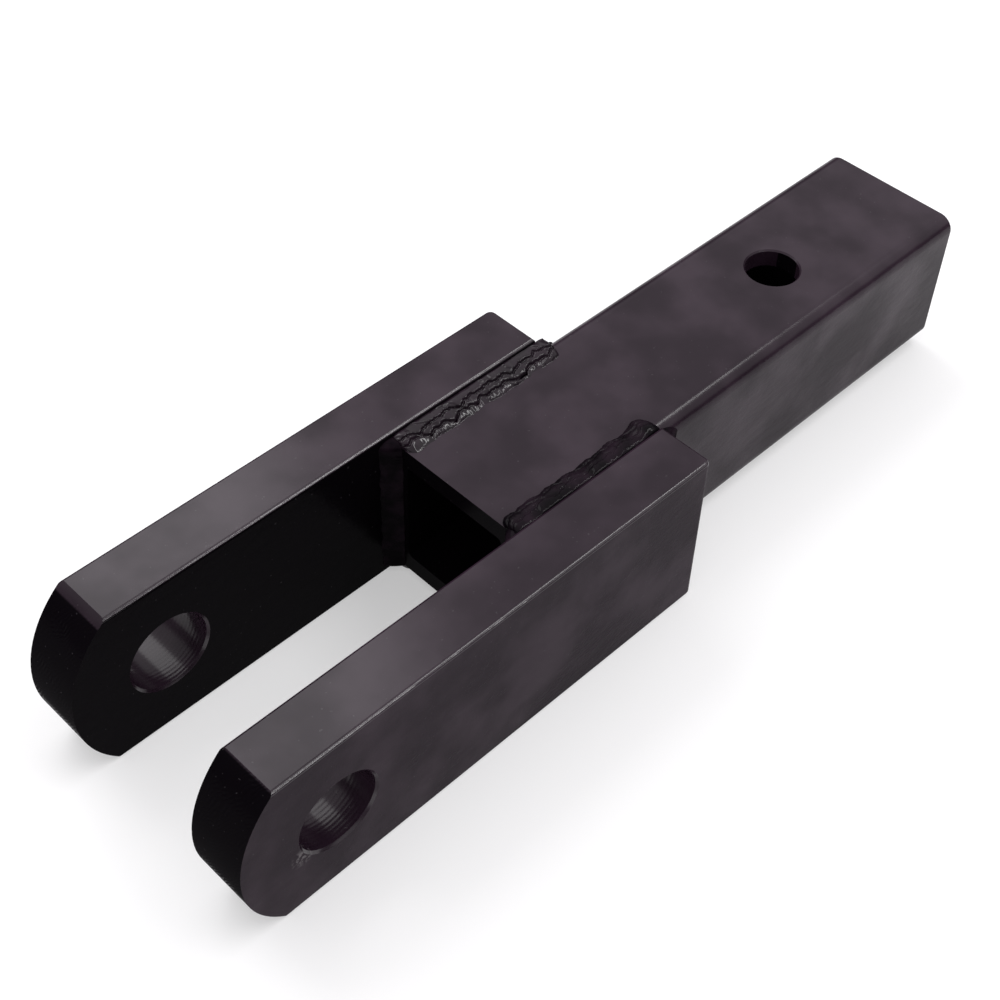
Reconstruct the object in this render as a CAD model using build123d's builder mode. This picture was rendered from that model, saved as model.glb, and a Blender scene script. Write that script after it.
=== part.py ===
from build123d import *
import os
from math import ceil, pi, sin, sqrt

# Clevis hitch: two flat bar arms welded to the sides of a square receiver shank.
# Millimetres. The origin is where the hitch pin's axis crosses the shank's axis.
# +X runs along the shank into the receiver, +Y to the left arm, +Z up.

# Shank, a square tube
SHANK_SIDE = 50.8
SHANK_WALL = 6.35
SHANK_LENGTH = 203.2
SHANK_CORNER = 5.0
SHANK_INNER_CORNER = 1.6
SHANK_EDGE_BREAK = 0.6

# Hitch pin hole, through the top and bottom walls
PIN_HOLE_DIAMETER = 17.46
PIN_FROM_FAR_END = 63.5
PIN_HOLE_CHAMFER = 0.5

# Arms, flat bars on edge with a round nose, that stand proud of the shank above and below
ARM_LENGTH = 171.45
ARM_PROUD = 3.175
ARM_THICKNESS = 19.05
ARM_OVERLAP = 58.0
ARM_EDGE_RADIUS = 1.2
ARM_CORNER_RADIUS = 2.2
NOSE_RADIUS = 38.1
LEFT_NOSE_DROP = 1.8
CLEVIS_BORE_DIAMETER = 25.4
CLEVIS_BORE_FROM_TIP = 31.75
CLEVIS_BORE_CHAMFER = 0.7

# Groove beads, between an arm and the shank's rounded corner
BEAD_TOE = 2.4
BEAD_TOE_SWING = 0.7
BEAD_CROWN = 1.2
BEAD_CROWN_SWING = 0.45
BEAD_BELOW_ARM = 1.5
BEAD_ROOT_GAP = 0.6
BEAD_PITCH = 11.0
BEAD_STATIONS_PER_PITCH = 3
LAST_PUDDLE = 0.7

# Front fillets, between an arm's inner face and the shank's near end
FRONT_LEG_ON_ARM = 5.2
FRONT_LEG_ON_SHANK = 4.4
FRONT_BLOB_ON_SHANK = 7.0
FRONT_END_SHRINK = 0.45
FRONT_FILLET_SAG = 0.044

# Rear fillets, between an arm's far end and the shank's side
REAR_LEG_ON_SHANK = 8.0
REAR_LEG_ON_ARM = 4.6
REAR_WRAP = 7.5
REAR_END_SHRINK = 0.3
REAR_FILLET_SAG = 0.112

# Upright fillets: how their legs swell and shrink up the arm. A fillet's sag is a share of its legs.
FILLET_SWING = 0.08
FILLET_PITCH = 20.0
FILLET_BELOW_ARM = 1.6

# Places worked out from the sizes above
half_side = SHANK_SIDE / 2
half_height = half_side + ARM_PROUD
far_end = PIN_FROM_FAR_END
near_end = far_end - SHANK_LENGTH
arm_far = near_end + ARM_OVERLAP
nose_tip = arm_far - ARM_LENGTH
bore_x = nose_tip + CLEVIS_BORE_FROM_TIP
nose_centre_x = nose_tip + NOSE_RADIUS
arm_outer = half_side + ARM_THICKNESS
corner_centre = half_side - SHANK_CORNER
fillet_top = half_height - FILLET_BELOW_ARM


def arc_level(side):
    """Level of the shank's outside at a half width within its rounded corner."""
    return corner_centre + sqrt(SHANK_CORNER**2 - (side - corner_centre) ** 2)


def unevenness(distance, pitch, phase):
    """A hand laid weld's swell, between -1 and 1, from two waves that don't keep step."""
    main_wave = sin(2 * pi * distance / pitch + phase)
    slow_wave = sin(2 * pi * distance / (1.618 * pitch) + 2 * phase)
    return 0.6 * main_wave + 0.4 * slow_wave


# Receiver tube: the square shank with its through pin hole
with BuildPart() as receiver_tube:
    with BuildSketch(Plane.YZ.offset(near_end)) as shank_section:
        RectangleRounded(SHANK_SIDE, SHANK_SIDE, SHANK_CORNER)
        hollow_side = SHANK_SIDE - 2 * SHANK_WALL
        RectangleRounded(hollow_side, hollow_side, SHANK_INNER_CORNER, mode=Mode.SUBTRACT)
    extrude(amount=SHANK_LENGTH)
    far_face = receiver_tube.faces().sort_by(Axis.X)[-1]
    chamfer(far_face.outer_wire().edges(), length=SHANK_EDGE_BREAK)
    with BuildSketch(Plane.XY.offset(-SHANK_SIDE)) as pin_hole:
        Circle(PIN_HOLE_DIAMETER / 2)
    extrude(amount=2 * SHANK_SIDE, mode=Mode.SUBTRACT)
    bottom_face, *_, top_face = receiver_tube.faces().sort_by(Axis.Z)
    rims = [face.inner_wires()[0].edges() for face in (bottom_face, top_face)]
    chamfer(rims[0] + rims[1], length=PIN_HOLE_CHAMFER)


def bored_arm(nose_drop):
    """Left hand bar with its bore, rounded long edges and a sharp, hand cut nose, which may sit a little low."""
    top_reach = sqrt(NOSE_RADIUS**2 - (half_height + nose_drop) ** 2)
    bottom_reach = sqrt(NOSE_RADIUS**2 - (half_height - nose_drop) ** 2)
    with BuildPart() as arm:
        with BuildSketch(Plane.XZ.offset(-arm_outer)) as arm_profile:
            with BuildLine() as arm_outline:
                nose = ThreePointArc(
                    (nose_centre_x - top_reach, half_height),
                    (nose_tip, -nose_drop),
                    (nose_centre_x - bottom_reach, -half_height),
                )
                Polyline(nose @ 1, (arm_far, -half_height), (arm_far, half_height), nose @ 0)
            make_face()
        extrude(amount=ARM_THICKNESS)
        upright_edges = arm.edges().filter_by(Axis.Z).sort_by(Axis.Y)
        fillet(upright_edges[-1], radius=ARM_CORNER_RADIUS)
        rolled_edges = arm.faces().filter_by(Axis.Y).edges().filter_by(Axis.X)
        fillet(rolled_edges, radius=ARM_EDGE_RADIUS)
        with BuildSketch(Plane.XZ.offset(-arm_outer)) as clevis_bore:
            with Locations((bore_x, 0)):
                Circle(CLEVIS_BORE_DIAMETER / 2)
        extrude(amount=ARM_THICKNESS, mode=Mode.SUBTRACT)
        inner_face, outer_face = arm.faces().filter_by(Axis.Y).sort_by(Axis.Y)
        bore_rims = inner_face.inner_wires()[0].edges() + outer_face.inner_wires()[0].edges()
        chamfer(bore_rims, length=CLEVIS_BORE_CHAMFER)
    return arm


left_arm = bored_arm(nose_drop=LEFT_NOSE_DROP)

with BuildPart() as right_arm:
    add(bored_arm(nose_drop=0).part)
    mirror(about=Plane.XZ, mode=Mode.REPLACE)


def groove_bead(side, upward, phase, puddle):
    """Bead along one groove. Its section keeps to the arm and the shank's corner, and its free face swells."""
    stations = ceil(ARM_OVERLAP / BEAD_PITCH * BEAD_STATIONS_PER_PITCH)
    root_side = half_side - BEAD_ROOT_GAP
    root_level = arc_level(root_side)
    with BuildPart() as bead:
        for station in range(stations + 1):
            distance = ARM_OVERLAP * station / stations
            swell = unevenness(distance, BEAD_PITCH, phase)
            end_lift = puddle * max(0, 1 - (ARM_OVERLAP - distance) / BEAD_PITCH)
            toe = BEAD_TOE + BEAD_TOE_SWING * swell + end_lift
            crown = BEAD_CROWN + BEAD_CROWN_SWING * swell + end_lift
            top = half_height - BEAD_BELOW_ARM
            with BuildSketch(Plane.YZ.offset(near_end + distance)):
                with BuildLine():
                    toe_point = (side * (corner_centre - toe), upward * half_side)
                    arm_point = (side * half_side, upward * top)
                    crown_point = (
                        (toe_point[0] + arm_point[0]) / 2,
                        (toe_point[1] + arm_point[1]) / 2 + upward * crown,
                    )
                    corner_point = (side * corner_centre, upward * half_side)
                    root_point = (side * root_side, upward * root_level)
                    middle_side = (root_side + corner_centre) / 2
                    on_corner = (side * middle_side, upward * arc_level(middle_side))
                    Polyline(arm_point, (side * half_side, upward * root_level), root_point)
                    ThreePointArc(root_point, on_corner, corner_point)
                    Line(corner_point, toe_point)
                    ThreePointArc(toe_point, crown_point, arm_point)
                make_face()
        loft(ruled=True)
    return bead


def upright_fillet(side, corner_x, toward, legs_at, sag):
    """Fillet up an arm, lofted through sections whose legs lie along X and Y from the inner corner."""
    with BuildPart() as upright:
        for level, leg_x, leg_y, back in legs_at:
            with BuildSketch(Plane.XY.offset(level)):
                with BuildLine():
                    x_toe = (corner_x + toward * leg_x, side * half_side)
                    y_toe = (corner_x, side * (half_side + leg_y))
                    middle = (
                        (x_toe[0] + y_toe[0]) / 2 - toward * sag * leg_x,
                        (x_toe[1] + y_toe[1]) / 2 - side * sag * leg_y,
                    )
                    ThreePointArc(x_toe, middle, y_toe)
                    if back > 0:
                        inner = side * (half_side - back)
                        Polyline(y_toe, (corner_x, inner), (corner_x + toward * leg_x, inner), x_toe)
                    else:
                        Polyline(y_toe, (corner_x, side * half_side), x_toe)
                make_face()
        loft(ruled=True)
    return upright


def fillet_levels(end_shrink):
    """Heights of the fillet's sections, with how full the fillet is at each."""
    stations = 2 * ceil(2 * half_height / FILLET_PITCH)
    levels = []
    for station in range(stations + 1):
        level = fillet_top * (2 * station / stations - 1)
        at_end = station in (0, stations)
        fullness = end_shrink if at_end else 1 + FILLET_SWING * unevenness(level, FILLET_PITCH, station)
        levels.append((level, fullness))
    return levels


def front_fillet(side):
    """Fillet at the shank's near end. Its upper end runs out in a blob across the wall's cut face."""
    legs = []
    for level, fullness in fillet_levels(FRONT_END_SHRINK):
        near_top = max(0, 1 - (fillet_top - level) / FILLET_PITCH)
        leg_y = FRONT_LEG_ON_SHANK + (FRONT_BLOB_ON_SHANK - FRONT_LEG_ON_SHANK) * near_top
        legs.append((level, FRONT_LEG_ON_ARM * fullness, -leg_y * fullness, 0))
    return upright_fillet(side, near_end, -1, legs, FRONT_FILLET_SAG)


def rear_fillet(side):
    """Fillet at an arm's far end, fitted to the shank's outside, which it wraps over at both ends."""
    legs = []
    for level, fullness in fillet_levels(REAR_END_SHRINK):
        legs.append((level, REAR_LEG_ON_SHANK * fullness, REAR_LEG_ON_ARM * fullness, REAR_WRAP))
    blank = upright_fillet(side, arm_far, 1, legs, REAR_FILLET_SAG)
    with BuildPart() as fitted:
        add(blank.part)
        with BuildSketch(Plane.YZ.offset(near_end)):
            RectangleRounded(SHANK_SIDE, SHANK_SIDE, SHANK_CORNER)
        extrude(amount=SHANK_LENGTH, mode=Mode.SUBTRACT)
    return fitted


pieces = {
    "receiver_tube": receiver_tube,
    "left_arm": left_arm,
    "right_arm": right_arm,
    "left_top_weld": groove_bead(side=1, upward=1, phase=0.4, puddle=0),
    "right_top_weld": groove_bead(side=-1, upward=1, phase=2.1, puddle=LAST_PUDDLE),
    "left_bottom_weld": groove_bead(side=1, upward=-1, phase=3.3, puddle=0),
    "right_bottom_weld": groove_bead(side=-1, upward=-1, phase=5.0, puddle=0),
    "left_front_weld": front_fillet(side=1),
    "right_front_weld": front_fillet(side=-1),
    "left_rear_weld": rear_fillet(side=1),
    "right_rear_weld": rear_fillet(side=-1),
}

os.makedirs("parts", exist_ok=True)
for name, piece in pieces.items():
    piece.part.label = name
    export_step(piece.part, f"parts/{name}.step")
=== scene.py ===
"""Hitch connector: looks for a welded receiver shank with a two armed clevis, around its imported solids.

Metres. The origin is where the hitch pin's axis crosses the shank's axis.
+X runs along the shank into the receiver, +Y to the left arm, +Z up.
"""

import math

import bpy
from bpy.props import FloatProperty, FloatVectorProperty, IntProperty, PointerProperty
from mathutils import Matrix, Vector


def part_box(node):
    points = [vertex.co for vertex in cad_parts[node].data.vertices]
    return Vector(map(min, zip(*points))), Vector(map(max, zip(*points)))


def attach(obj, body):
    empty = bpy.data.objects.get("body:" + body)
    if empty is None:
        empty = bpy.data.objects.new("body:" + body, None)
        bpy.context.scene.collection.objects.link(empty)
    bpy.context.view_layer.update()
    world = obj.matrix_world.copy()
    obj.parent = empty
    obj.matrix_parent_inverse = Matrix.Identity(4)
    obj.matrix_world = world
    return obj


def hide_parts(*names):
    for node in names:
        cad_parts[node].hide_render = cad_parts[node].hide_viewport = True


bl_info = {
    "name": "Hitch Connector",
    "version": (1, 0, 0),
    "blender": (4, 5, 0),
    "location": "View3D > Sidebar > Hitch Connector",
    "description": "Dresses the hitch connector: glossy black coat, hand laid welds and a studio floor",
    "category": "Add Mesh",
}

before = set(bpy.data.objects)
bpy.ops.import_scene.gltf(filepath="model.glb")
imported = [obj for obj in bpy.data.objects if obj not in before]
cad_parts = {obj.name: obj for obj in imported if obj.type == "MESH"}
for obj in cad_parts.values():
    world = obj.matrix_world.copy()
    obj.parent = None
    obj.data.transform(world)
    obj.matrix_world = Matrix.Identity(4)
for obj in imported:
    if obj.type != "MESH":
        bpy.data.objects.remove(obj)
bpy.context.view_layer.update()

MM = 0.001

# Places on the solids
tube_low, tube_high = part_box("receiver_tube")
arm_low, arm_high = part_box("left_arm")
HALF_SIDE = tube_high.y
HALF_HEIGHT = arm_high.z
NEAR_END = tube_low.x
ARM_FAR = arm_high.x
NOSE_TIP = arm_low.x
ARM_PROUD = HALF_HEIGHT - HALF_SIDE
OVERLAP = ARM_FAR - NEAR_END
SHANK_CORNER = 5.0 * MM
BORE_RADIUS = 12.7 * MM
BORE_X = NOSE_TIP + 31.75 * MM
NOSE_END = NOSE_TIP + 12.9 * MM
ARM_OUTER = arm_high.y
HOLLOW_REACH = HALF_SIDE - 6.2 * MM
SCUFF_PLACE = (BORE_X - 12.6 * MM, -ARM_OUTER, -7.0 * MM)

# Colours and sizes of small effects
SPECK_COLOUR = (0.05, 0.045, 0.05, 1.0)
SCUFF_COLOUR = (0.11, 0.1, 0.105, 1.0)
COAT_TINT = (1.0, 0.97, 1.0, 1.0)
PLAIN_WHITE = (1.0, 1.0, 1.0, 1.0)
SKY_COLOUR = (1.0, 0.985, 1.0, 1.0)
STEEL_CLOUD_SIZE = 22.0 * MM
WELD_CLOUD_SIZE = 6.0 * MM
CLOUD_ROUGHNESS = 0.06
BASE_ROUGHNESS = 0.4
PIT_DEPTH = 0.003
FACES_ALONG = 0.9
FULL_TURN = 6.283


# Node trees
class Amount:
    """A number or vector socket that takes part in sums, so that a tree's formulas read as formulas."""

    def __init__(self, builder, socket):
        self.builder = builder
        self.socket = socket

    def __add__(self, other):
        return self.builder.maths("ADD", self, other)

    def __sub__(self, other):
        return self.builder.maths("SUBTRACT", self, other)

    def __rsub__(self, other):
        return self.builder.maths("SUBTRACT", other, self)

    def __mul__(self, other):
        return self.builder.maths("MULTIPLY", self, other)

    def __truediv__(self, other):
        return self.builder.maths("DIVIDE", self, other)

    def __pow__(self, other):
        return self.builder.maths("POWER", self, other)

    def __gt__(self, other):
        return self.builder.maths("GREATER_THAN", self, other)

    def __lt__(self, other):
        return self.builder.maths("LESS_THAN", self, other)

    __radd__ = __add__
    __rmul__ = __mul__


class TreeBuilder:
    """Adds nodes to one tree, and links or sets whatever each one is given."""

    def __init__(self, tree):
        self.tree = tree

    def feed(self, socket, value):
        """Links a socket to another node's output, or sets its value."""
        if isinstance(value, Amount):
            value = value.socket
        if isinstance(value, bpy.types.NodeSocket):
            self.tree.links.new(value, socket)
        else:
            socket.default_value = value

    def node(self, kind, inputs=None, **settings):
        """Adds a node. Inputs are named, or numbered where names repeat."""
        made = self.tree.nodes.new(kind)
        for name, value in settings.items():
            setattr(made, name, value)
        for name, value in (inputs or {}).items():
            self.feed(made.inputs[name], value)
        return made

    def value(self, kind, output, inputs=None, **settings):
        """Adds a node and gives one of its outputs."""
        return Amount(self, self.node(kind, inputs, **settings).outputs[output])

    def maths(self, operation, *values, clamp=False):
        """One sum on numbers."""
        inputs = dict(enumerate(values))
        return self.value("ShaderNodeMath", 0, inputs, operation=operation, use_clamp=clamp)

    def clamp(self, value):
        """The value kept between 0 and 1."""
        return self.maths("ADD", value, 0.0, clamp=True)

    def ramp(self, value, start, end):
        """0 before start, 1 after end, and smooth between them."""
        inputs = {"Value": value, "From Min": start, "From Max": end}
        return self.value("ShaderNodeMapRange", "Result", inputs, interpolation_type="SMOOTHSTEP")

    def blend(self, share, first, second):
        """From first to second as share goes from 0 to 1."""
        return first + (second - first) * share

    def colour(self, share, first, second):
        """Mixes two colours."""
        inputs = {0: share, 6: first, 7: second}
        return self.value("ShaderNodeMix", 2, inputs, data_type="RGBA")

    def split(self, vector):
        """The three parts of a vector."""
        return [Amount(self, part) for part in self.node("ShaderNodeSeparateXYZ", {0: vector}).outputs]

    def size(self, value):
        """The value without its sign."""
        return self.maths("ABSOLUTE", value)

    def larger(self, first, second):
        """The larger of two values."""
        return self.maths("MAXIMUM", first, second)

    def hump(self, value, centre, width):
        """1 at the centre, and falling away smoothly on both sides."""
        return self.maths("EXPONENT", ((value - centre) / width) ** 2.0 * -1.0)

    def stretch(self, vector, factors):
        """The vector times a factor for each axis."""
        return self.value("ShaderNodeVectorMath", 0, {0: vector, 1: factors}, operation="MULTIPLY")

    def noise(self, vector, scale, detail=2.0, seed=0.0):
        """Smooth noise between about 0.2 and 0.8."""
        inputs = {"Vector": vector, "W": seed, "Scale": scale, "Detail": detail}
        return self.value("ShaderNodeTexNoise", 0, inputs, noise_dimensions="4D")


def opaque(colour):
    """A colour with full alpha."""
    return tuple(colour) + (1.0,)


def new_group(name, tree_type, inputs, outputs):
    """An empty node group with named sockets, and its builder, inputs and output node."""
    tree = bpy.data.node_groups.new(name, tree_type)
    for socket_name, kind, default in inputs:
        socket = tree.interface.new_socket(socket_name, in_out="INPUT", socket_type=kind)
        if default is not None:
            socket.default_value = default
    for socket_name, kind in outputs:
        tree.interface.new_socket(socket_name, in_out="OUTPUT", socket_type=kind)
    build = TreeBuilder(tree)
    entry = tree.nodes.new("NodeGroupInput")
    given = {socket_name: Amount(build, entry.outputs[socket_name]) for socket_name, _, _ in inputs}
    return build, given, tree.nodes.new("NodeGroupOutput")


FLOAT = "NodeSocketFloat"
VECTOR = "NodeSocketVector"
INTEGER = "NodeSocketInt"


# Surface effects that the coats share
def coat_clouds_group():
    """Cloudy patches in a sprayed coat, and small specks of dust in it."""
    inputs = [("Vector", VECTOR, None), ("Size", FLOAT, 0.02), ("Seed", FLOAT, 0.0)]
    outputs = [("Clouds", FLOAT), ("Specks", FLOAT)]
    build, given, out = new_group("coat clouds", "ShaderNodeTree", inputs, outputs)
    broad = build.noise(given["Vector"], build.maths("DIVIDE", 1.0, given["Size"]), 3.0, given["Seed"])
    fine = build.noise(given["Vector"], 900.0, 1.0, given["Seed"])
    build.feed(out.inputs["Clouds"], build.ramp(broad, 0.35, 0.7))
    build.feed(out.inputs["Specks"], build.ramp(fine, 0.72, 0.76))
    return build.tree


def rolled_skin_group():
    """Height of a hot rolled face under paint: shallow ripples and a fine orange peel."""
    inputs = [("Vector", VECTOR, None), ("Ripple", FLOAT, 1.0), ("Peel", FLOAT, 1.0), ("Seed", FLOAT, 0.0)]
    build, given, out = new_group("rolled skin", "ShaderNodeTree", inputs, [("Height", FLOAT)])
    along = build.stretch(given["Vector"], (0.55, 1.0, 1.0))
    ripple = build.noise(along, 260.0, 2.0, given["Seed"]) * given["Ripple"]
    peel = build.noise(given["Vector"], 1100.0, 1.0, given["Seed"]) * given["Peel"]
    build.feed(out.inputs["Height"], ripple + peel * 0.25)
    return build.tree


def cut_marks_group():
    """Height of the slanting lines that a torch or grinder leaves on a cut nose."""
    inputs = [("Vector", VECTOR, None), ("Pitch", FLOAT, 0.0011), ("Seed", FLOAT, 0.0)]
    build, given, out = new_group("cut marks", "ShaderNodeTree", inputs, [("Height", FLOAT)])
    _, across, up = build.split(given["Vector"])
    sway = build.noise(given["Vector"], 160.0, 2.0, given["Seed"]) * 0.004
    line = build.maths("SINE", (across * 0.8 + up * 0.6 + sway) * FULL_TURN / given["Pitch"])
    patch = build.ramp(build.noise(given["Vector"], 130.0, 2.0, given["Seed"]), 0.35, 0.7)
    build.feed(out.inputs["Height"], line * patch)
    return build.tree


def bore_marks_group():
    """Height of the rings that a boring tool leaves round a hole."""
    inputs = [("Vector", VECTOR, None), ("Pitch", FLOAT, 0.0013), ("Seed", FLOAT, 0.0)]
    build, given, out = new_group("bore marks", "ShaderNodeTree", inputs, [("Height", FLOAT)])
    _, depth, _ = build.split(given["Vector"])
    sway = build.noise(given["Vector"], 90.0, 1.0, given["Seed"]) * 0.0012
    ring = build.maths("SINE", (depth + sway) * FULL_TURN / given["Pitch"])
    strength = build.noise(build.stretch(given["Vector"], (0.3, 1.0, 0.3)), 700.0, 2.0, given["Seed"])
    build.feed(out.inputs["Height"], ring * strength)
    return build.tree


def new_material(name):
    """An empty material, with its builder and its Principled shader."""
    material = bpy.data.materials.new(name)
    material.use_nodes = True
    material.node_tree.nodes.clear()
    build = TreeBuilder(material.node_tree)
    shader = build.node("ShaderNodeBsdfPrincipled")
    output = build.node("ShaderNodeOutputMaterial", {"Surface": shader.outputs[0]})
    output.is_active_output = True
    return material, build, shader


def use_group(build, group, output, inputs):
    """Places a shared effect in a material and gives one of its outputs."""
    return build.value("ShaderNodeGroup", output, inputs, node_tree=group)


def coated_steel(name, groups, finish, seed, side):
    """Black coat over rolled bar or tube. The arms, at side 1 or -1, also have cut noses and bored holes. A
    darker painted shade colour lies in the shank's hollow and on its near end face, and on the arms' inner
    faces and noses.
    """
    material, build, shader = new_material(name)
    coordinates = build.node("ShaderNodeTexCoord")
    place, facing = coordinates.outputs["Object"], coordinates.outputs["Normal"]
    x, y, z = build.split(place)
    nor_x, nor_y, nor_z = build.split(facing)
    # Painted shade: this darker colour stands in for shade in the shank's hollow and on its near end face,
    # and on the arms' inner faces and noses.
    painted_shade_colour = opaque(finish.shade_colour)

    cloud_inputs = {"Vector": place, "Size": STEEL_CLOUD_SIZE, "Seed": seed}
    clouds = use_group(build, groups["clouds"], "Clouds", cloud_inputs)
    specks = use_group(build, groups["clouds"], "Specks", {"Vector": place, "Seed": seed + 3})
    skin_inputs = {"Vector": place, "Ripple": 1.0, "Peel": 1.0, "Seed": seed}
    height = use_group(build, groups["skin"], "Height", skin_inputs)
    side_share = build.ramp(build.size(nor_y), 0.6, FACES_ALONG)
    height = height * build.blend(side_share, finish.top_ripple, finish.side_ripple)
    colour = build.colour(clouds, opaque(finish.coat_colour), opaque(finish.cloud_colour))
    roughness = build.blend(clouds, finish.coat_roughness, finish.coat_roughness + CLOUD_ROUGHNESS)
    flank_gloss = finish.side_gloss if side else finish.shank_gloss
    gloss = build.blend(side_share, finish.top_gloss, flank_gloss) * build.blend(clouds, 0.85, 1.15)

    if not side:
        # Painted shade in the shank's hollow and on its near end face, which also get the low inner gloss.
        in_hollow = build.larger(build.size(y), build.size(z)) < HOLLOW_REACH
        painted_shade = build.larger(in_hollow, nor_x < -FACES_ALONG)
        gloss = build.blend(painted_shade, gloss, finish.inner_gloss)
    else:
        from_axis = build.maths("SQRT", (x - BORE_X) ** 2.0 + z ** 2.0)
        in_bore = 1.0 - build.ramp(from_axis, BORE_RADIUS + 0.2 * MM, BORE_RADIUS + 0.8 * MM)
        across_bar = 1.0 - build.ramp(build.size(nor_y), 0.3, 0.6)
        on_nose = (1.0 - build.ramp(x, NOSE_END - 0.6 * MM, NOSE_END)) * across_bar
        rings = use_group(build, groups["bore"], "Height", {"Vector": place, "Seed": seed})
        marks = use_group(build, groups["cut"], "Height", {"Vector": place, "Seed": seed})
        height = build.blend(in_bore, height, rings * finish.bore_depth)
        height = build.blend(on_nose, height, marks * finish.cut_depth + height * 0.5)
        ends = {0: place, 1: SCUFF_PLACE}
        from_scuff = build.value("ShaderNodeVectorMath", "Value", ends, operation="DISTANCE")
        scratches = build.ramp(build.noise(place, 700.0, 3.0, seed + 5), 0.45, 0.6)
        scuff = (1.0 - build.ramp(from_scuff, 1.5 * MM, 4.5 * MM)) * scratches
        colour = build.colour(scuff, colour, SCUFF_COLOUR)
        roughness = build.blend(in_bore, roughness, finish.bore_roughness)
        inner_side = nor_y * side < -FACES_ALONG
        gloss = build.blend(inner_side, gloss, finish.inner_gloss)
        round_edge = build.ramp(nor_z, 0.15, 0.3)
        lit_edge = round_edge * build.ramp(nor_y * -1.0, 0.15, 0.3)
        dark_edge = round_edge * build.ramp(nor_y, 0.15, 0.3)
        gloss = build.blend(lit_edge, gloss, 1.0)
        gloss = build.blend(dark_edge, gloss, finish.inner_gloss)
        low_nose = 1.0 - build.ramp(z + marks * 4.0 * MM, -20.0 * MM, -4.0 * MM)
        gloss = build.blend(on_nose, gloss, build.blend(low_nose, finish.nose_gloss, finish.low_nose_gloss))
        # Painted shade on the arms' inner faces, between the arms, and on the noses.
        painted_shade = build.larger(inner_side, on_nose)

    # The darker painted shade colour goes where painted_shade is 1.
    colour = build.colour(painted_shade, colour, painted_shade_colour)
    build.feed(shader.inputs["Base Color"], build.colour(specks * 0.5, colour, SPECK_COLOUR))
    build.feed(shader.inputs["Roughness"], build.blend(0.5, roughness, BASE_ROUGHNESS))
    build.feed(shader.inputs["Coat Weight"], gloss)
    finish_coat(build, shader, finish.coat_roughness, height)
    return material


def finish_coat(build, shader, roughness, height):
    """Sets what is the same all over a coat, and lays its height on the surface and the clear top.

    The height is in millimetres."""
    shader.inputs["Specular IOR Level"].default_value = 0.0
    shader.inputs["Coat Roughness"].default_value = roughness
    shader.inputs["Coat Tint"].default_value = COAT_TINT
    bump = build.node("ShaderNodeBump", {"Strength": 1.0, "Distance": 1.0, "Height": height * MM})
    build.feed(shader.inputs["Normal"], bump.outputs[0])
    build.feed(shader.inputs["Coat Normal"], bump.outputs[0])


def coated_weld(name, finish, gloss, base):
    """The same black coat over weld metal, with tiny pits. A coat that is there already is used again."""
    if name in bpy.data.materials:
        return bpy.data.materials[name]
    material, build, shader = new_material(name)
    place = build.node("ShaderNodeTexCoord").outputs["Object"]
    cloud_inputs = {"Vector": place, "Size": WELD_CLOUD_SIZE, "Seed": 7.0}
    clouds = use_group(build, surface_groups()["clouds"], "Clouds", cloud_inputs)
    pits = build.ramp(build.noise(place, 800.0, 2.0, 9.0), 0.3, 0.42)
    colour = build.colour(clouds * 0.5, opaque(base), opaque(finish.cloud_colour))
    build.feed(shader.inputs["Base Color"], colour)
    build.feed(shader.inputs["Roughness"], build.blend(clouds, 0.3, 0.4))
    build.feed(shader.inputs["Coat Weight"], build.blend(clouds, gloss, gloss * 0.9))
    finish_coat(build, shader, finish.weld_roughness, pits * PIT_DEPTH)
    return material


# Weld beads
BEAD_INPUTS = [
    ("Run", FLOAT, 0.058),
    ("Leg A", FLOAT, 0.005),
    ("Leg B", FLOAT, 0.005),
    ("Leg Swing", FLOAT, 0.1),
    ("Root Depth", FLOAT, 0.0),
    ("Root Radius", FLOAT, 0.0),
    ("Crown", FLOAT, 0.001),
    ("Arch Power", FLOAT, 1.0),
    ("Puddle Pitch", FLOAT, 0.009),
    ("Puddle Height", FLOAT, 0.0004),
    ("Ripple Pitch", FLOAT, 0.0016),
    ("Ripple Height", FLOAT, 0.00008),
    ("Lump Height", FLOAT, 0.0006),
    ("Crease Depth", FLOAT, 0.0),
    ("Crease Place", FLOAT, 0.6),
    ("Last Puddle", FLOAT, 0.0),
    ("First Puddle", FLOAT, 0.0),
    ("End Share", FLOAT, 0.3),
    ("Seed", FLOAT, 0.0),
    ("Stations", INTEGER, 360),
    ("Material", "NodeSocketMaterial", None),
]
SECTION_POINTS = 56
FACE_POINTS = 40
END_ROUND = 2.5 * MM
CREASE_WIDTH = 0.045
LEAST_RADIUS = 0.01 * MM


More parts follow.
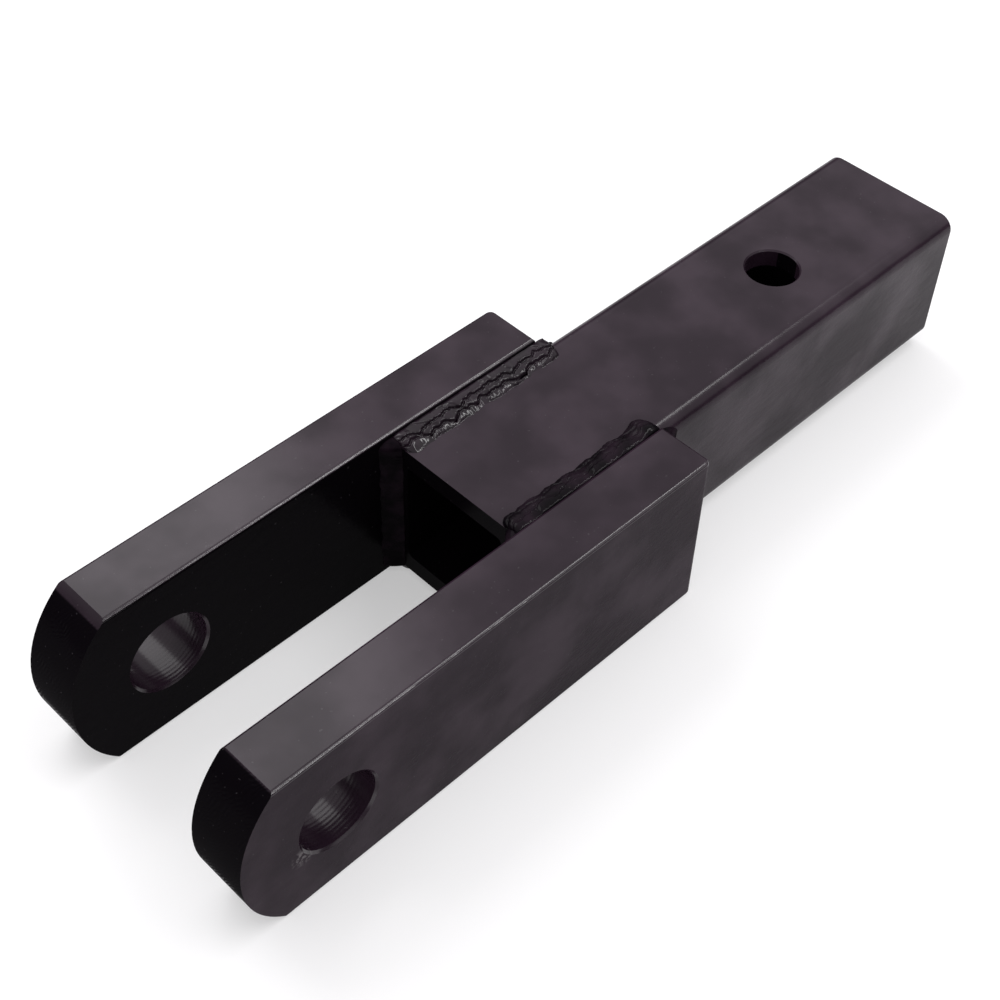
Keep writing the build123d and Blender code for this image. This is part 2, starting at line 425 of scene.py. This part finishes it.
def bead_group():
    """A bead laid along +X in the corner between surface A, along +Y, and surface B, along +Z.

    Each section runs over the free face from A to B, and back along the root. The free face swells into
    overlapping puddles with fine crescent ripples, lumps and two wandering creases."""
    outputs = [("Geometry", "NodeSocketGeometry")]
    build, given, out = new_group("hand laid bead", "GeometryNodeTree", BEAD_INPUTS, outputs)
    end_point = build.value("ShaderNodeCombineXYZ", 0, {0: given["Run"]})
    path = build.node("GeometryNodeCurvePrimitiveLine", {"End": end_point})
    path = build.node("GeometryNodeResampleCurve", {"Curve": path.outputs[0], "Count": given["Stations"]})
    factor = build.node("GeometryNodeSplineParameter").outputs["Factor"]
    inputs = {"Geometry": path.outputs[0], "Name": "along", "Value": factor}
    path = build.node("GeometryNodeStoreNamedAttribute", inputs)
    section = build.node("GeometryNodeCurvePrimitiveCircle", {"Resolution": SECTION_POINTS, "Radius": MM})
    index = build.node("GeometryNodeSplineParameter").outputs["Index"]
    inputs = {"Geometry": section.outputs[0], "Name": "across", "Value": index}
    section = build.node("GeometryNodeStoreNamedAttribute", inputs)
    inputs = {"Curve": path.outputs[0], "Profile Curve": section.outputs[0], "Fill Caps": True}
    skin = build.node("GeometryNodeCurveToMesh", inputs)

    along = build.value("GeometryNodeInputNamedAttribute", 0, {"Name": "along"}, data_type="FLOAT")
    across = build.value("GeometryNodeInputNamedAttribute", 0, {"Name": "across"}, data_type="FLOAT")
    x = along * given["Run"]
    face = build.clamp(across / float(FACE_POINTS - 1))
    back = build.clamp((across - float(FACE_POINTS)) / float(SECTION_POINTS - FACE_POINTS - 1))
    on_back = across > float(FACE_POINTS) - 0.5

    # How full the bead is at its ends
    to_end = build.maths("MINIMUM", x, given["Run"] - x)
    inward = build.clamp(to_end / END_ROUND)
    fullness = build.blend(build.maths("SQRT", inward * (2.0 - inward)), given["End Share"], 1.0)
    last = build.hump(given["Run"] - x, 4.0 * MM, 3.6 * MM) * given["Last Puddle"]
    first = build.hump(x, 2.5 * MM, 3.0 * MM) * given["First Puddle"]
    blob = last + first

    # Legs that swell and shrink along the bead
    flat_place = build.value("ShaderNodeCombineXYZ", 0, {0: x})
    sway_a = build.noise(flat_place, 150.0, 3.0, given["Seed"]) - 0.5
    sway_b = build.noise(flat_place, 230.0, 3.0, given["Seed"] + 11.0) - 0.5
    leg_a = given["Leg A"] * (1.0 + sway_a * given["Leg Swing"] * 2.0) * fullness + blob
    leg_b = given["Leg B"] * (1.0 + sway_b * given["Leg Swing"] * 1.2) * fullness

    # The free face
    arch = build.clamp(face * (1.0 - face) * 4.0) ** given["Arch Power"]
    edge_hold = build.ramp(arch, 0.0, 0.35)
    face_place = build.value("ShaderNodeCombineXYZ", 0, {0: x * 0.6, 1: face * given["Leg A"]})
    warp = (build.noise(face_place, 170.0, 2.0, given["Seed"] + 2.0) - 0.5) * 5.0
    crescent = (face - 0.5) ** 2.0 * 3.0
    puddle = build.maths("FRACT", x / given["Puddle Pitch"] + crescent * 0.35 + warp * 0.35)
    puddle_height = (1.0 - puddle) ** 1.6 * build.ramp(puddle, 0.0, 0.12) * given["Puddle Height"]
    ripple_phase = (x / given["Ripple Pitch"] + crescent * 1.6 + warp * 0.5) * FULL_TURN
    ripple = build.maths("SINE", ripple_phase) * given["Ripple Height"]
    lumps = (build.noise(face_place, 150.0, 0.5, given["Seed"] + 5.0) - 0.5) * 2.0 * given["Lump Height"]
    wander_a = build.noise(flat_place, 190.0, 3.0, given["Seed"] + 8.0) - 0.5
    wander_b = build.noise(flat_place, 120.0, 3.0, given["Seed"] + 9.0) - 0.5
    crease_a = build.hump(face, given["Crease Place"] + wander_a * 0.9, CREASE_WIDTH)
    crease_b = build.hump(face, given["Crease Place"] - 0.3 + wander_b * 1.3, CREASE_WIDTH)
    creases = (crease_a + crease_b) * given["Crease Depth"]
    relief = (puddle_height + ripple + lumps - creases) * edge_hold * fullness
    rise = arch * (given["Crown"] * fullness + blob) + relief
    length = build.maths("SQRT", leg_a ** 2.0 + leg_b ** 2.0)
    face_a = leg_a * (1.0 - face) + rise * leg_b / length
    face_b = leg_b * face + rise * leg_a / length

    # The root, which follows the rounded corner or stays at one depth
    back_a = leg_a * back
    to_round = build.clamp(1.0 - back_a / build.larger(given["Root Radius"], LEAST_RADIUS))
    rounded = 1.0 - build.maths("SQRT", 1.0 - to_round ** 2.0)
    sunk = build.blend(given["Root Radius"] > LEAST_RADIUS, 1.0, rounded)
    back_b = given["Root Depth"] * sunk * -1.0

    at = build.value("ShaderNodeCombineXYZ", 0, {
        0: x,
        1: build.blend(on_back, face_a, back_a),
        2: build.blend(on_back, face_b, back_b),
    })
    skin = build.node("GeometryNodeSetPosition", {"Geometry": skin.outputs[0], "Position": at})
    skin = build.node("GeometryNodeRemoveAttribute", {"Geometry": skin.outputs[0], "Name": "along"})
    skin = build.node("GeometryNodeRemoveAttribute", {"Geometry": skin.outputs[0], "Name": "across"})
    skin = build.node("GeometryNodeRealizeInstances", {"Geometry": skin.outputs[0]})
    skin = build.node("GeometryNodeSetMaterial", {"Geometry": skin.outputs[0], "Material": given["Material"]})
    build.feed(out.inputs[0], skin.outputs[0])
    return build.tree


def lay_bead(group, node, origin, along, toward_a, toward_b, values):
    """Runs the bead tree with these values and sets the mesh in the corner that the three directions give."""
    holder = bpy.data.objects.new(node + "_bead", bpy.data.meshes.new(node + "_bead"))
    bpy.context.scene.collection.objects.link(holder)
    modifier = holder.modifiers.new("bead", "NODES")
    modifier.node_group = group
    sockets = {s.name: s.identifier for s in group.interface.items_tree if s.in_out == "INPUT"}
    for name, value in values.items():
        modifier[sockets[name]] = value
    bpy.context.view_layer.update()
    evaluated = holder.evaluated_get(bpy.context.evaluated_depsgraph_get())
    mesh = bpy.data.meshes.new_from_object(evaluated)
    holder.modifiers.clear()
    holder.data = mesh
    turn = Matrix((along, toward_a, toward_b)).transposed()
    mesh.transform(Matrix.Translation(Vector(origin)) @ turn.to_4x4())
    if turn.determinant() < 0:
        mesh.flip_normals()
    mesh.shade_smooth()
    if len(mesh.polygons) == 0:
        raise RuntimeError(f"the bead tree made nothing for {node}")
    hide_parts(node)
    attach(holder, "root")


class ConnectorFinish(bpy.types.PropertyGroup):
    """Colours and gloss of the coat."""

    coat_colour: FloatVectorProperty(
        name="Coat", description="Colour of the black coat",
        subtype="COLOR", default=(0.0125, 0.0065, 0.0115))
    cloud_colour: FloatVectorProperty(
        name="Clouds", description="Colour of the cloudy patches",
        subtype="COLOR", default=(0.024, 0.0135, 0.022))
    # Painted shade: this darker colour is painted on the noses, the arms' inner faces, the shank's hollow and
    # near end face, the upright fillets and the right upper bead.
    shade_colour: FloatVectorProperty(
        name="Painted Shade", description="Colour of the thin coat on noses and inner faces", subtype="COLOR",
        default=(0.003, 0.0022, 0.0032))
    weld_colour: FloatVectorProperty(
        name="Weld", description="Colour of the coat over the welds",
        subtype="COLOR", default=(0.009, 0.0055, 0.0085))
    coat_roughness: FloatProperty(
        name="Roughness", description="Roughness of the coat", default=0.2, min=0, max=1)
    weld_roughness: FloatProperty(
        name="Weld Roughness", description="Roughness on the welds", default=0.1, min=0, max=1)
    bore_roughness: FloatProperty(
        name="Bore Roughness", description="Roughness in the bores", default=0.24, min=0, max=1)
    top_gloss: FloatProperty(
        name="Top Gloss", description="Gloss of the upper faces", default=0.5, min=0, max=1)
    side_gloss: FloatProperty(
        name="Side Gloss", description="Gloss of the arms' outer faces", default=0.27, min=0, max=1)
    shank_gloss: FloatProperty(
        name="Shank Gloss", description="Gloss of the shank's sides", default=0.45, min=0, max=1)
    # The faces that take the painted shade colour also get this low gloss.
    inner_gloss: FloatProperty(
        name="Inner Gloss", description="Gloss of the arms' inner faces, where the spray is dry",
        default=0.07, min=0, max=1)
    nose_gloss: FloatProperty(
        name="Nose Gloss", description="Gloss of the cut noses", default=0.03, min=0, max=1)
    low_nose_gloss: FloatProperty(
        name="Low Nose Gloss", description="Gloss where the noses were ground", default=0.85, min=0, max=1)
    upright_gloss: FloatProperty(
        name="Upright Gloss", description="Gloss over the upright fillets", default=0.04, min=0, max=1)
    weld_gloss: FloatProperty(
        name="Weld Gloss", description="Gloss over the beads", default=0.55, min=0, max=1)
    # Painted shade: the right upper bead's coat has the darker painted shade colour and this low gloss.
    shaded_bead_gloss: FloatProperty(
        name="Shaded Bead Gloss", description="Gloss of the thick coat on the right upper bead",
        default=0.12, min=0, max=1)
    top_ripple: FloatProperty(
        name="Top Ripple", description="Ripple of the upper faces, in millimetres",
        default=0.004, min=0, max=0.2)
    side_ripple: FloatProperty(
        name="Side Ripple", description="Ripple of the rolled side faces, in millimetres",
        default=0.15, min=0, max=0.2)
    bore_depth: FloatProperty(
        name="Bore Rings", description="Depth of the tool's rings, in millimetres",
        default=0.014, min=0, max=0.5)
    cut_depth: FloatProperty(
        name="Cut Marks", description="Depth of the marks on the noses, in millimetres",
        default=0.05, min=0, max=0.5)


class ConnectorWelds(bpy.types.PropertyGroup):
    """Sizes of the welds."""

    puddle_pitch: FloatProperty(
        name="Puddle Pitch", description="Distance between puddles",
        default=11.0 * MM, subtype="DISTANCE", unit="LENGTH")
    puddle_height: FloatProperty(
        name="Puddle Height", description="Step at a puddle's edge",
        default=0.4 * MM, subtype="DISTANCE", unit="LENGTH")
    ripple_pitch: FloatProperty(
        name="Ripple Pitch", description="Distance between ripples",
        default=1.5 * MM, subtype="DISTANCE", unit="LENGTH")
    ripple_height: FloatProperty(
        name="Ripple Height", description="Height of the fine ripples",
        default=0.003 * MM, subtype="DISTANCE", unit="LENGTH")
    lump_height: FloatProperty(
        name="Lump Height", description="Height of the lumps",
        default=0.8 * MM, subtype="DISTANCE", unit="LENGTH")
    stations: IntProperty(
        name="Stations", description="Sections along a bead", default=420, min=8, max=1200)


class ConnectorStudio(bpy.types.PropertyGroup):
    """Camera, floor and light."""

    eye: FloatVectorProperty(
        name="Eye", description="Place of the camera",
        subtype="XYZ", unit="LENGTH", default=(-0.36337, -0.23345, 0.37079))
    aim: FloatVectorProperty(
        name="Aim", description="Point at the middle of the picture", subtype="XYZ", unit="LENGTH",
        default=(-0.11653, 0.00417, 0.0))
    roll: FloatProperty(
        name="Roll", description="How far the camera leans",
        subtype="ANGLE", unit="ROTATION", default=math.radians(2.02))
    lens: FloatProperty(name="Lens", description="Focal length in millimetres", default=61.36, min=1)
    floor_colour: FloatVectorProperty(
        name="Floor", description="Colour of the floor", subtype="COLOR", default=(0.96, 0.955, 0.965))
    floor_lift: FloatProperty(
        name="Floor Lift", description="Share of plain white in the floor as it is seen",
        default=0.4, min=0, max=1)
    sky_strength: FloatProperty(
        name="Sky", description="Light from overhead, behind the shank", default=1.2, min=0)
    front_strength: FloatProperty(
        name="Front Sky", description="Light from overhead, above the noses", default=0.85, min=0)
    horizon_strength: FloatProperty(name="Horizon", description="Light from low down", default=0.18, min=0)
    strip_power: FloatProperty(
        name="Strip", description="Power of the strip box in watts", default=3.0, min=0, unit="POWER")
    key_power: FloatProperty(
        name="Key", description="Power of the soft box in watts", default=6.0, min=0, unit="POWER")


class CONNECTOR_OT_coat_steel(bpy.types.Operator):
    """Give the shank and the arms their black coat"""

    bl_idname = "connector.coat_steel"
    bl_label = "Coat the Steel"

    def execute(self, context):
        groups = surface_groups()
        finish = context.scene.connector_finish
        coats = {
            "receiver_tube": coated_steel("shank coat", groups, finish, 1.0, side=0),
            "left_arm": coated_steel("left arm coat", groups, finish, 2.0, side=1),
            "right_arm": coated_steel("right arm coat", groups, finish, 6.0, side=-1),
        }
        for node, coat in coats.items():
            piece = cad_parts[node]
            piece.data.materials.clear()
            piece.data.materials.append(coat)
        return {"FINISHED"}


def surface_groups():
    """The shared surface effects, built once."""
    makers = {
        "clouds": ("coat clouds", coat_clouds_group),
        "skin": ("rolled skin", rolled_skin_group),
        "cut": ("cut marks", cut_marks_group),
        "bore": ("bore marks", bore_marks_group),
    }
    return {key: bpy.data.node_groups.get(name) or make() for key, (name, make) in makers.items()}


def weld_kit(context, upright):
    """The bead tree, the weld's material and the values that all beads share."""
    welds = context.scene.connector_welds
    finish = context.scene.connector_finish
    name, gloss, base = "bead coat", finish.weld_gloss, finish.weld_colour
    # Painted shade: the upright fillets take the darker painted shade colour.
    if upright:
        name, gloss, base = "shaded upright weld coat", finish.upright_gloss, finish.shade_colour
    coat = coated_weld(name, finish, gloss, base)
    group = bpy.data.node_groups.get("hand laid bead") or bead_group()
    shared = {
        "Puddle Pitch": welds.puddle_pitch,
        "Puddle Height": welds.puddle_height,
        "Ripple Pitch": welds.ripple_pitch,
        "Ripple Height": welds.ripple_height,
        "Lump Height": welds.lump_height,
        "Stations": welds.stations,
        "Material": coat,
    }
    return group, shared


class CONNECTOR_OT_lay_groove_beads(bpy.types.Operator):
    """Lay the four beads between the arms and the shank's rounded corners"""

    bl_idname = "connector.lay_groove_beads"
    bl_label = "Lay the Groove Beads"

    def execute(self, context):
        group, shared = weld_kit(context, upright=False)
        finish = context.scene.connector_finish
        # Painted shade: the right upper bead gets the darker painted shade colour and a low gloss.
        shaded_bead_coat = coated_weld("shaded bead coat", finish, finish.shaded_bead_gloss, finish.shade_colour)
        looks = {
            "left_top_weld": {
                "Run": OVERLAP + 3.5 * MM,
                "Leg A": SHANK_CORNER + 3.2 * MM,
                "Crown": 0.7 * MM,
                "Crease Depth": 1.0 * MM,
                "First Puddle": 0.6 * MM,
                "Seed": 3.0,
            },
            "right_top_weld": {
                "Crown": 1.5 * MM,
                "Arch Power": 0.6,
                "Crease Depth": 0.25 * MM,
                "Last Puddle": 1.0 * MM,
                "Lump Height": 0.6 * MM,
                "Puddle Height": 0.2 * MM,
                "Seed": 14.0,
                "Material": shaded_bead_coat,
            },
            "left_bottom_weld": {"Crown": 1.0 * MM, "Seed": 25.0},
            "right_bottom_weld": {"Crown": 1.0 * MM, "Seed": 36.0},
        }
        for node, look in looks.items():
            side = 1 if node.startswith("left") else -1
            upward = 1 if "top" in node else -1
            values = {
                "Run": OVERLAP,
                "Leg A": SHANK_CORNER + 2.5 * MM,
                "Leg B": ARM_PROUD - 1.3 * MM,
                "Leg Swing": 0.3,
                "Root Depth": SHANK_CORNER,
                "Root Radius": SHANK_CORNER,
                "End Share": 0.55,
            }
            origin = (NEAR_END, side * HALF_SIDE, upward * HALF_SIDE)
            toward_shank, toward_arm = (0, -side, 0), (0, 0, upward)
            lay_bead(group, node, origin, (1, 0, 0), toward_shank, toward_arm, {**shared, **values, **look})
        return {"FINISHED"}


class CONNECTOR_OT_lay_front_fillets(bpy.types.Operator):
    """Lay the upright fillets where the arms pass the shank's near end"""

    bl_idname = "connector.lay_front_fillets"
    bl_label = "Lay the Front Fillets"

    def execute(self, context):
        group, shared = weld_kit(context, upright=True)
        for side, name, seed in ((1, "left", 47.0), (-1, "right", 58.0)):
            values = {
                "Run": 2 * HALF_HEIGHT - 3.4 * MM,
                "Leg A": 5.0 * MM,
                "Leg B": 4.6 * MM,
                "Leg Swing": 0.3,
                "Crown": 0.1 * MM,
                "Lump Height": 0.25 * MM,
                "Puddle Height": 0.1 * MM,
                "Seed": seed,
            }
            origin = (NEAR_END, side * HALF_SIDE, -HALF_HEIGHT + 1.6 * MM)
            toward_arm, toward_shank = (-1, 0, 0), (0, -side, 0)
            node = name + "_front_weld"
            lay_bead(group, node, origin, (0, 0, 1), toward_arm, toward_shank, {**shared, **values})
        return {"FINISHED"}


class CONNECTOR_OT_lay_rear_fillets(bpy.types.Operator):
    """Lay the upright fillets between the arms' far ends and the shank"""

    bl_idname = "connector.lay_rear_fillets"
    bl_label = "Lay the Rear Fillets"

    def execute(self, context):
        group, shared = weld_kit(context, upright=True)
        for side, name, seed in ((1, "left", 69.0), (-1, "right", 80.0)):
            values = {
                "Run": HALF_HEIGHT + HALF_SIDE - 2.6 * MM,
                "End Share": 0.1,
                "Leg A": 7.6 * MM,
                "Leg B": 4.4 * MM,
                "Leg Swing": 0.3,
                "Root Depth": 6.0 * MM,
                "Crown": -0.6 * MM,
                "Lump Height": 0.4 * MM,
                "Puddle Height": 0.35 * MM,
                "Seed": seed,
            }
            origin = (ARM_FAR, side * HALF_SIDE, -HALF_HEIGHT + 1.6 * MM)
            toward_shank, toward_arm = (1, 0, 0), (0, side, 0)
            node = name + "_rear_weld"
            lay_bead(group, node, origin, (0, 0, 1), toward_shank, toward_arm, {**shared, **values})
        return {"FINISHED"}


class CONNECTOR_OT_build_stage(bpy.types.Operator):
    """Set the floor, the soft light and the camera"""

    bl_idname = "connector.build_stage"
    bl_label = "Build the Stage"

    def execute(self, context):
        studio = context.scene.connector_studio
        context.scene.view_settings.view_transform = "Standard"
        lay_floor(context.scene, studio)
        hang_lights(context.scene, studio)
        set_camera(context.scene, studio)
        return {"FINISHED"}


def lay_floor(scene, studio):
    """A wide pale floor at the level of the arms' undersides."""
    reach = 12.0
    signs = [(-1, -1), (1, -1), (1, 1), (-1, 1)]
    corners = [(reach * side_x, reach * side_y, -HALF_HEIGHT) for side_x, side_y in signs]
    mesh = bpy.data.meshes.new("floor")
    mesh.from_pydata(corners, [], [(0, 1, 2, 3)])
    floor = bpy.data.objects.new("floor", mesh)
    scene.collection.objects.link(floor)
    material, build, shader = new_material("pale floor")
    shader.inputs["Base Color"].default_value = opaque(studio.floor_colour)
    shader.inputs["Roughness"].default_value = 0.6
    shader.inputs["Specular IOR Level"].default_value = 0.1
    paper = build.node("ShaderNodeEmission", {"Color": PLAIN_WHITE, "Strength": 1.0})
    rays = build.node("ShaderNodeLightPath").outputs
    seen = build.larger(rays["Is Camera Ray"], rays["Is Glossy Ray"])
    seen = build.larger(seen, rays["Is Transmission Ray"])
    inputs = {0: seen * studio.floor_lift, 1: shader.outputs[0], 2: paper.outputs[0]}
    both = build.node("ShaderNodeMixShader", inputs)
    surface = next(n for n in material.node_tree.nodes if n.type == "OUTPUT_MATERIAL")
    build.feed(surface.inputs["Surface"], both.outputs[0])
    mesh.materials.append(material)


def hang_lights(scene, studio):
    """A soft sky, bright overhead and dim low down, a soft box to the left and a strip box to the right."""
    world = bpy.data.worlds.new("studio")
    scene.world = world
    world.use_nodes = True
    world.node_tree.nodes.clear()
    build = TreeBuilder(world.node_tree)
    direction = build.node("ShaderNodeTexCoord").outputs["Generated"]
    forward, left, up = build.split(direction)
    behind = build.ramp(forward * 0.72 + left * 0.69, -0.6, 0.4)
    overhead = build.blend(behind, studio.front_strength, studio.sky_strength)
    strength = build.blend(build.ramp(up, 0.28, 0.5), studio.horizon_strength, overhead)
    background = build.node("ShaderNodeBackground", {"Color": SKY_COLOUR, "Strength": strength})
    build.node("ShaderNodeOutputWorld", {"Surface": background.outputs[0]})

    hang_box(scene, "soft box", (-0.1, 0.75, 0.95), (0.9, 0.7), studio.key_power)
    hang_box(scene, "strip box", (0.32, -0.36, 0.85), (0.9, 0.07), studio.strip_power)


def hang_box(scene, name, place, size, power):
    """A rectangular lamp that faces the connector."""
    light = bpy.data.lights.new(name, "AREA")
    light.shape = "RECTANGLE"
    light.size, light.size_y = size
    light.energy = power
    lamp = bpy.data.objects.new(name, light)
    scene.collection.objects.link(lamp)
    lamp.location = place
    toward = Vector((-0.1, 0.0, 0.0)) - lamp.location
    lamp.rotation_euler = toward.to_track_quat("-Z", "Y").to_euler()


def set_camera(scene, studio):
    """The camera looks down on the connector from beyond the noses."""
    camera = bpy.data.objects.new("camera", bpy.data.cameras.new("camera"))
    scene.collection.objects.link(camera)
    camera.data.lens = studio.lens
    camera.data.clip_start = 0.01
    eye, aim = Vector(studio.eye), Vector(studio.aim)
    look = (aim - eye).to_track_quat("-Z", "Y").to_matrix().to_4x4()
    lean = Matrix.Rotation(studio.roll, 4, "Z")
    camera.matrix_world = Matrix.Translation(eye) @ look @ lean
    scene.camera = camera


class CONNECTOR_PT_panel(bpy.types.Panel):
    """Lists the steps that dress the connector"""

    bl_label = "Hitch Connector"
    bl_idname = "CONNECTOR_PT_panel"
    bl_space_type = "VIEW_3D"
    bl_region_type = "UI"
    bl_category = "Hitch Connector"

    def draw(self, context):
        for setting in SETTINGS:
            group = getattr(context.scene, setting)
            for name in group.__annotations__:
                self.layout.prop(group, name)
        for operator in OPERATORS:
            self.layout.operator(operator.bl_idname)


SETTINGS = {
    "connector_finish": ConnectorFinish,
    "connector_welds": ConnectorWelds,
    "connector_studio": ConnectorStudio,
}
OPERATORS = [
    CONNECTOR_OT_coat_steel,
    CONNECTOR_OT_lay_groove_beads,
    CONNECTOR_OT_lay_front_fillets,
    CONNECTOR_OT_lay_rear_fillets,
    CONNECTOR_OT_build_stage,
]


def register():
    """Registers the settings, the steps and the panel."""
    for name, group in SETTINGS.items():
        bpy.utils.register_class(group)
        setattr(bpy.types.Scene, name, PointerProperty(type=group))
    for operator in OPERATORS:
        bpy.utils.register_class(operator)
    bpy.utils.register_class(CONNECTOR_PT_panel)


def unregister():
    """Takes away what register added."""
    bpy.utils.unregister_class(CONNECTOR_PT_panel)
    for operator in reversed(OPERATORS):
        bpy.utils.unregister_class(operator)
    for name, group in SETTINGS.items():
        delattr(bpy.types.Scene, name)
        bpy.utils.unregister_class(group)


def main():
    """Builds everything in order."""
    register()
    bpy.ops.connector.coat_steel()
    bpy.ops.connector.lay_groove_beads()
    bpy.ops.connector.lay_front_fillets()
    bpy.ops.connector.lay_rear_fillets()
    bpy.ops.connector.build_stage()


if __name__ == "__main__":
    main()
